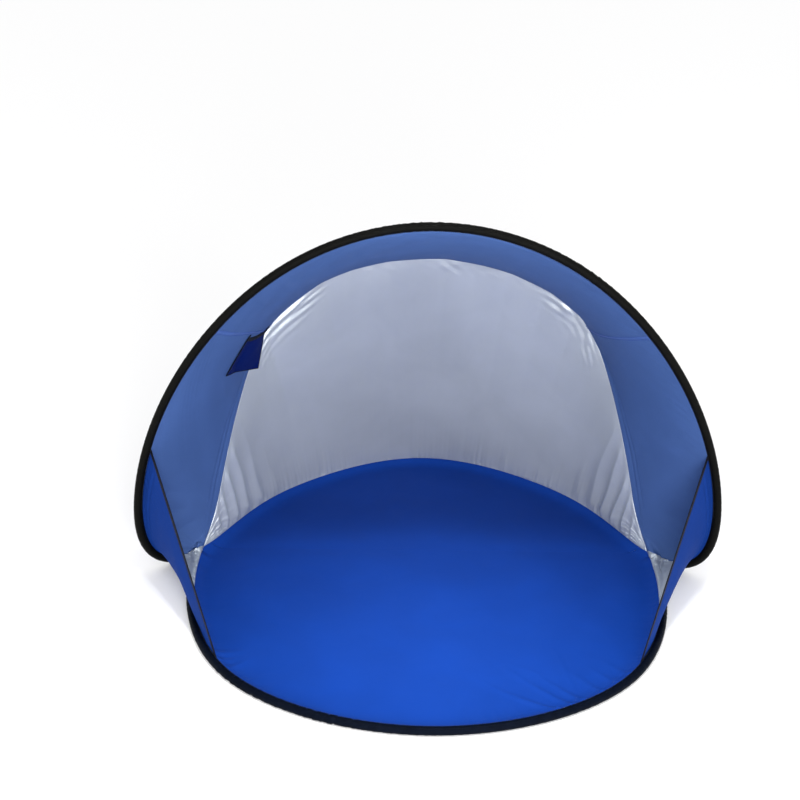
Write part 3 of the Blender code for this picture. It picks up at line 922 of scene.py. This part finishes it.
# Pleats of a side panel that fan out from the crossing to the binding: place below the arch at
# the binding, half width and height.
PLEATS = ((0.013, 0.0042, 0.0030), (0.027, 0.0048, 0.0028), (0.050, 0.0075, 0.0022))
EDGE_BAND = (0.0062, 0.0013)              # half a band's width and half its thickness
EDGE_STITCHING = (0.0038, 0.0013)         # how far in from the edge, and off the cloth
BAND_SIDES = 14
BAND_ROUND = 0.6


def side_panel(hand):
    """A side panel, blue outside and silver inside, with its bound free edge."""
    u_a = HOOP_A.even(A_CROSS, A_BINDING, EDGE_COLUMNS)
    u_b = HOOP_B.even(B_CROSS, B_BINDING, EDGE_COLUMNS)
    points = loft(HOOP_A.seam(u_a), HOOP_B.seam(u_b), shares_of(EDGE_ROWS))
    points = draped(relaxed(points, SIDE_TENSION))
    seed = SEED + (70 if hand == "right" else 80)

    # Broad billows, wrinkles beside each hoop, crinkles from the corner, pleats, and crumples.
    along, down, up = distances(points)
    run = along[-1][None] + 0.0 * up
    lift = 0.0018 * field(along, down, 0.20, seed, 3.0)
    lift += 0.0022 * np.exp(-up / 0.030) * ripple(run, 0.026, seed + 1)
    lift += 0.0014 * np.exp(-down / 0.040) * ripple(along[0][None] + 0.0 * up, 0.030, seed + 2)
    lift += 0.0024 * rays(points, 0.16, seed + 3)
    for place, width, height in PLEATS:
        away = down - place * (0.25 + 0.75 * run / run[0, -1])
        lift -= height * bell(away / width) * ramp(run, 0.01, 0.05)
    corner = np.linalg.norm(points - CORNER, axis=2)
    lift += 0.0010 * bell(corner / 0.16) * field(run, down, 0.018, seed + 4, 1.6)
    free = ramp(run[0, -1] - run, 0.0, 0.05)
    points = lifted(points, lift * free * ramp(np.minimum(down, up), 0.0, SIDE_EDGE))
    if hand == "left":
        points = points * np.array([-1.0, 1.0, 1.0])

    piece = cloth_piece("side_cloth_" + hand, points, BLUE_OUTSIDE, SILVER_SIDE)
    fit(piece, "edge", "canopy_blue", "side_panel_" + hand)
    line = points[:, -1]
    up_way = normals(points)[:, -1]
    across = unit(points[:, -1] - points[:, -3])
    edge = band("edge_band_" + hand, line, across, up_way, *EDGE_BAND)
    fit(edge, "edge", "binding_black", "edge_binding_" + hand)
    for word, facing in (("outside", 1.0), ("inside", -1.0)):
        row = line - across * EDGE_STITCHING[0] + up_way * facing * EDGE_STITCHING[1]
        threads = stitches("edge_thread_" + word + "_" + hand, row, up_way * facing, THREAD_BLACK)
        fit(threads, "edge", "binding_black")


def band(name, line, across, up, half_width, half_thickness):
    """A folded fabric band along a line, with rounded edges."""
    wide, tall = np.cos(turns_round(BAND_SIDES)), np.sin(turns_round(BAND_SIDES))
    wide = half_width * np.sign(wide) * np.abs(wide) ** BAND_ROUND
    tall = half_thickness * np.sign(tall) * np.abs(tall) ** BAND_ROUND
    points = line[:, None] + across[:, None] * wide[:, None] + up[:, None] * tall[:, None]
    return link(name, grid_mesh(name, points, wrap=True), BINDING_CLOTH)


# ---- floor ----
FLOOR_Z = 0.0014
FLOOR_RISE = 0.016        # width of the strip that climbs to the rim's seam
RIM_SPLIT = 0.27          # share of the rim that bounds each side of a floor grid
RIM_POINTS = 900
PATCH_MARKS = 400         # points along each side of such a grid, before they are spread
CROWDING = 0.45           # how much closer its columns lie at both ends
RIM_CROWDING = 1.25       # and its rows at the rim
FRONT_GRID = (220, 130)   # columns and rows of each half of the floor
REAR_GRID = (150, 84)
CREASE_WIDTH = 0.007
BATCH = 4000              # floor points compared with the rim at a time

# Puckers of the floor: place along the front rim from the left, width, height, reach, lean.
FLOOR_PUCKERS = (
    (0.600, 0.014, 0.0050, 0.06, 0.2), (0.640, 0.010, 0.0035, 0.05, 0.1),
    (0.690, 0.012, 0.0040, 0.07, -0.3), (0.760, 0.010, 0.0030, 0.05, 0.2),
    (0.830, 0.012, 0.0025, 0.05, 0.0), (1.395, 0.008, 0.0028, 0.045, 0.1),
    (1.420, 0.007, 0.0032, 0.050, 0.1), (1.447, 0.007, 0.0032, 0.045, 0.0),
    (1.478, 0.008, 0.0034, 0.050, 0.1), (1.508, 0.008, 0.0030, 0.045, 0.0),
    (1.540, 0.009, 0.0034, 0.050, 0.1), (1.650, 0.012, 0.0060, 0.130, -0.75),
    (1.690, 0.010, 0.0050, 0.170, -0.30), (1.725, 0.009, 0.0055, 0.120, -0.15),
    (1.790, 0.012, 0.0040, 0.100, 0.10), (1.850, 0.012, 0.0035, 0.080, 0.20),
    (1.905, 0.010, 0.0030, 0.070, 0.30),
)

# Long faint creases of the floor: both ends in plan, and height.
FLOOR_CREASES = (
    ((0.335, -0.330), (0.395, -0.640), 0.0010), ((0.040, -0.620), (0.020, -0.180), 0.0006),
    ((0.300, 0.050), (0.120, -0.330), 0.0005), ((-0.480, -0.050), (-0.390, -0.320), 0.0008),
    ((0.470, -0.020), (0.360, -0.220), 0.0006), ((-0.100, 0.250), (-0.150, 0.640), 0.0005),
    ((0.180, -0.420), (0.330, -0.500), 0.0006), ((-0.560, 0.020), (-0.470, 0.060), 0.0010),
)


def side_of_patch(rim, low, high):
    """Points at equal steps along part of a rim."""
    far = length_along(rim)
    return read_at(np.linspace(low, high, PATCH_MARKS) * far[-1], far, rim)


def patch(rim, crease, columns, rows):
    """Grid between a straight crease and the rim round it, filled from its four edges."""
    even = shares_of(columns)
    u = (1.0 - CROWDING) * even + CROWDING * (0.5 - 0.5 * np.cos(math.pi * even))
    v = 1.0 - (1.0 - shares_of(rows)) ** RIM_CROWDING
    left = side_of_patch(rim, 0.0, RIM_SPLIT)
    top = side_of_patch(rim, RIM_SPLIT, 1.0 - RIM_SPLIT)
    right = side_of_patch(rim, 1.0, 1.0 - RIM_SPLIT)
    even = shares_of(PATCH_MARKS)
    low = crease[0] + (crease[1] - crease[0]) * u[:, None]
    left, right, top = read_at(v, even, left), read_at(v, even, right), read_at(u, even, top)
    u, v = u[None, :, None], v[:, None, None]
    corners = ((1 - u) * (1 - v) * crease[0] + u * (1 - v) * crease[1]
               + (1 - u) * v * top[0] + u * v * top[-1])
    return ((1 - v) * low[None] + v * top[None] + (1 - u) * left[:, None]
            + u * right[:, None] - corners)


def floor_part(name, rim, puckers, grid, body, node):
    """One half of the floor sheet: flat, climbing to the seam on its rim."""
    points = patch(rim, (rim[0], rim[-1]), *grid)
    plan = points[..., :2].reshape(-1, 2)
    near = np.empty(len(plan), int)
    for start in range(0, len(plan), BATCH):
        gaps = plan[start:start + BATCH, None] - rim[None, :, :2]
        near[start:start + BATCH] = (gaps**2).sum(axis=2).argmin(axis=1)
    away = np.linalg.norm(plan - rim[near, :2], axis=1)
    place = length_along(rim)[near]
    rise = (rim[near, 2] - FLOOR_Z) * np.exp(-((away / FLOOR_RISE) ** 1.3))
    off_crease = ramp(np.abs(plan[:, 1] - GATHER_Y), 0.004, 0.05)
    lift = 0.0007 * (1.0 + field(plan[:, 0], plan[:, 1], 0.30, SEED + 90))
    lift += 0.0012 * (1.0 + ripple(place, 0.034, SEED + 91)) * np.exp(-away / 0.022)
    for spot, width, height, reach, lean in puckers:
        across = (place - spot - lean * away) / width
        lift += height * bell(across) * bell(away / reach)
    for first, last, height in FLOOR_CREASES:
        first, last = np.array(first), np.array(last)
        way = last - first
        share = np.clip(((plan - first) @ way) / (way @ way), 0.0, 1.0)
        gap = np.linalg.norm(plan - first - share[:, None] * way, axis=1)
        lift += height * bell(gap / CREASE_WIDTH) * np.sin(math.pi * share) ** 0.5
    lift *= ramp(away, 0.0, 0.010) * off_crease
    points[..., 2] = (FLOOR_Z + rise + lift).reshape(points.shape[:2])
    piece = cloth_piece(name, points, FLOOR_TOP, FLOOR_UNDER)
    if sum(face.normal.z for face in piece.data.polygons) < 0.0:
        piece.data.flip_normals()
    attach(piece, body)
    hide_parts(node)


def floors():
    """Both halves of the floor, parted at the line about which the tent folds."""
    rear = HOOP_A.seam(HOOP_A.even(1.0 - A_CROSS, A_CROSS, RIM_POINTS))
    front = HOOP_B.seam(HOOP_B.even(-B_CROSS, B_CROSS, RIM_POINTS))
    behind = rear[:, 1] > GATHER_Y
    first, last = np.argmax(behind), len(rear) - np.argmax(behind[::-1])
    cuts = []
    for number in (first - 1, last - 1):
        step = rear[number + 1] - rear[number]
        cuts.append(rear[number] + step * ((GATHER_Y - rear[number, 1]) / step[1]))
    front = np.vstack([cuts[0], rear[:first][::-1][:-1], front, rear[last:][::-1][1:], cuts[1]])
    rear = np.vstack([cuts[0], rear[first:last], cuts[1]])
    floor_part("floor_cloth_front", front, FLOOR_PUCKERS, FRONT_GRID, FRONT_GROUND, "floor_front")
    floor_part("floor_cloth_rear", rear, (), REAR_GRID, REAR_GROUND, "floor_rear")


# ---- pocket ----
POCKET_TOP = np.array([(-0.468, 0.243, 0.696), (-0.5106, 0.1288, 0.7187)])
POCKET_FOOT = np.array([(-0.4957, 0.270, 0.5427), (-0.5814, 0.1325, 0.585)])
POCKET_MOUTH = 0.10       # where the mouth starts, as a share of the way down each side
POCKET_SAG = 0.13         # how much further down the middle of the mouth hangs
POCKET_GRID = 40
MOUTH_BAND = (0.0060, 0.0012)
POCKET_PIPING = (0.0016, 0.0016)
POCKET_GAP = 0.0036       # least distance of the pocket from the outer face of the canopy
POCKET_NEAR = 0.25        # cloth further than this from the pocket can't touch it


def beneath(points, cloth, gap):
    """Points moved inward where they lie less than gap inside a cloth."""
    spots, out = cloth.reshape(-1, 3), normals(cloth).reshape(-1, 3)
    near = np.linalg.norm(spots - points.reshape(-1, 3).mean(axis=0), axis=1) < POCKET_NEAR
    spots, out = spots[near], out[near]
    moved = points.reshape(-1, 3).copy()
    for number, point in enumerate(moved):
        closest = np.argmin(np.linalg.norm(spots - point, axis=1))
        height = np.dot(point - spots[closest], out[closest])
        moved[number] -= out[closest] * max(height + gap, 0.0)
    return moved.reshape(points.shape)


def pocket(cloth):
    """Inner pocket hung from the cross seam by its two sides, with a sagging mouth band."""
    across = shares_of(POCKET_GRID)
    mouth = POCKET_MOUTH + POCKET_SAG * (4.0 * across * (1.0 - across)) ** 0.8
    high = POCKET_TOP[0] + (POCKET_TOP[1] - POCKET_TOP[0]) * across[:, None]
    low = POCKET_FOOT[0] + (POCKET_FOOT[1] - POCKET_FOOT[0]) * across[:, None]
    shares = mouth[None] + (1.0 - mouth[None]) * shares_of(POCKET_GRID)[:, None]
    points = high[None] + (low - high)[None] * shares[..., None]
    facing = unit(np.cross(POCKET_TOP[1] - POCKET_TOP[0], POCKET_FOOT[0] - POCKET_TOP[0]))
    facing = facing * np.sign(np.dot(facing, MIDDLE - POCKET_TOP[0]))
    belly = np.sin(math.pi * across)[None] * np.sin(math.pi * np.clip(shares, 0.0, 1.0)) ** 0.7
    bulge = 0.010 * belly + 0.0012 * belly * field(points[..., 1], points[..., 2], 0.05, SEED + 95)
    points = beneath(points + facing * bulge[..., None], cloth, POCKET_GAP)
    high = beneath(high, cloth, POCKET_GAP)
    bag = cloth_piece("pocket_bag", points, POCKET_CLOTH, POCKET_CLOTH)
    fit(bag, "canopy", "pocket_navy", "pocket")
    edges = (("mouth", points[0], MOUTH_BAND, ["pocket_mouth_band"]),
             ("foot", points[-1], POCKET_PIPING, []),
             ("rear_side", np.vstack([high[:1], points[:, 0]]), POCKET_PIPING, []),
             ("front_side", np.vstack([high[-1:], points[:, -1]]), POCKET_PIPING, []))
    for word, line, size, nodes in edges:
        up = np.repeat(facing[None], len(line), axis=0)
        side = unit(np.cross(unit(np.gradient(line, axis=0)), up))
        piping = band("pocket_" + word, line, side, up, *size)
        fit(piping, "canopy", "binding_black", *nodes)


# ---- ferrules ----
def ferrules():
    """The crimped ferrules inside the sleeves keep their CAD shape."""
    for node in ("rear_rim_ferrule", "front_rim_ferrule"):
        item = frame["nodes"][node]
        item.data.materials.clear()
        item.data.materials.append(STEEL)


# ---- studio ----
STUDIO_HALF = 30.0        # half the width of the pale floor
STUDIO_Z = -0.0006
SQUARE = ((-1, -1), (1, -1), (1, 1), (-1, 1))
LAMP_TARGET = (0.0, 0.0, 0.3)

# Name, place, what it points at, diameter, watts, and spread in degrees.
LAMPS = (
    ("overhead", (0.05, -1.1, 3.2), (0.03, -0.42, 0.0), 0.5, 6.0, 34.0),
    ("front", (0.4, -4.7, 1.25), LAMP_TARGET, 1.9, 215.0, 180.0),
    ("front_left", (-3.6, -2.5, 1.10), LAMP_TARGET, 0.8, 35.0, 180.0),
    ("front_right", (2.8, -3.3, 1.30), LAMP_TARGET, 0.8, 45.0, 180.0),
)
CAMERA_PLACE = (-0.11534, -4.33544, 2.59995)
CAMERA_BACK = Vector((-0.00657, -0.90581, 0.42364)).normalized()
CAMERA_RIGHT = Vector((0.99990, -0.00051, 0.01441))
CAMERA_LENS = 78.17       # millimetres, on a sensor 36 mm wide


def studio():
    """Pale floor and background."""
    pale = Shader("studio_pale", (0.97, 0.97, 0.972), 0.9, specular=0.0).made
    mesh = bpy.data.meshes.new("studio_floor")
    corners = [(x * STUDIO_HALF, y * STUDIO_HALF, STUDIO_Z) for x, y in SQUARE]
    mesh.from_pydata(corners, [], [(0, 1, 2, 3)])
    link("studio_floor", mesh, pale)
    world = bpy.data.worlds.new("studio_world")
    world.use_nodes = True
    world.node_tree.nodes["Background"].inputs["Color"].default_value = (1.0, 1.0, 1.0, 1.0)
    world.node_tree.nodes["Background"].inputs["Strength"].default_value = 1.0
    bpy.context.scene.world = world
    bpy.context.scene.view_settings.view_transform = "Standard"


def lamp(name, place, target, size, watts, spread):
    """A round soft light that points at target."""
    data = bpy.data.lights.new(name, "AREA")
    data.shape = "DISK"
    data.size = size
    data.energy = watts
    data.spread = math.radians(spread)
    item = bpy.data.objects.new(name, data)
    item.location = place
    item.rotation_euler = (Vector(target) - item.location).to_track_quat("-Z", "Y").to_euler()
    bpy.context.scene.collection.objects.link(item)


def camera():
    """The camera, a little above the tent and in front of it."""
    data = bpy.data.cameras.new("camera")
    data.sensor_width = 36.0
    data.lens = CAMERA_LENS
    item = bpy.data.objects.new("camera", data)
    bpy.context.scene.collection.objects.link(item)
    up = CAMERA_BACK.cross(CAMERA_RIGHT).normalized()
    right = up.cross(CAMERA_BACK)
    turn = Matrix((right, up, CAMERA_BACK)).transposed().to_4x4()
    item.matrix_world = Matrix.Translation(CAMERA_PLACE) @ turn
    bpy.context.scene.camera = item


# ---- put it together ----
studio()
for settings in LAMPS:
    lamp(*settings)
camera()
hoops()
canopy_points = canopy()
rear_arch_hem()
back_wall()
side_panel("right")
side_panel("left")
floors()
pocket(canopy_points)
ferrules()
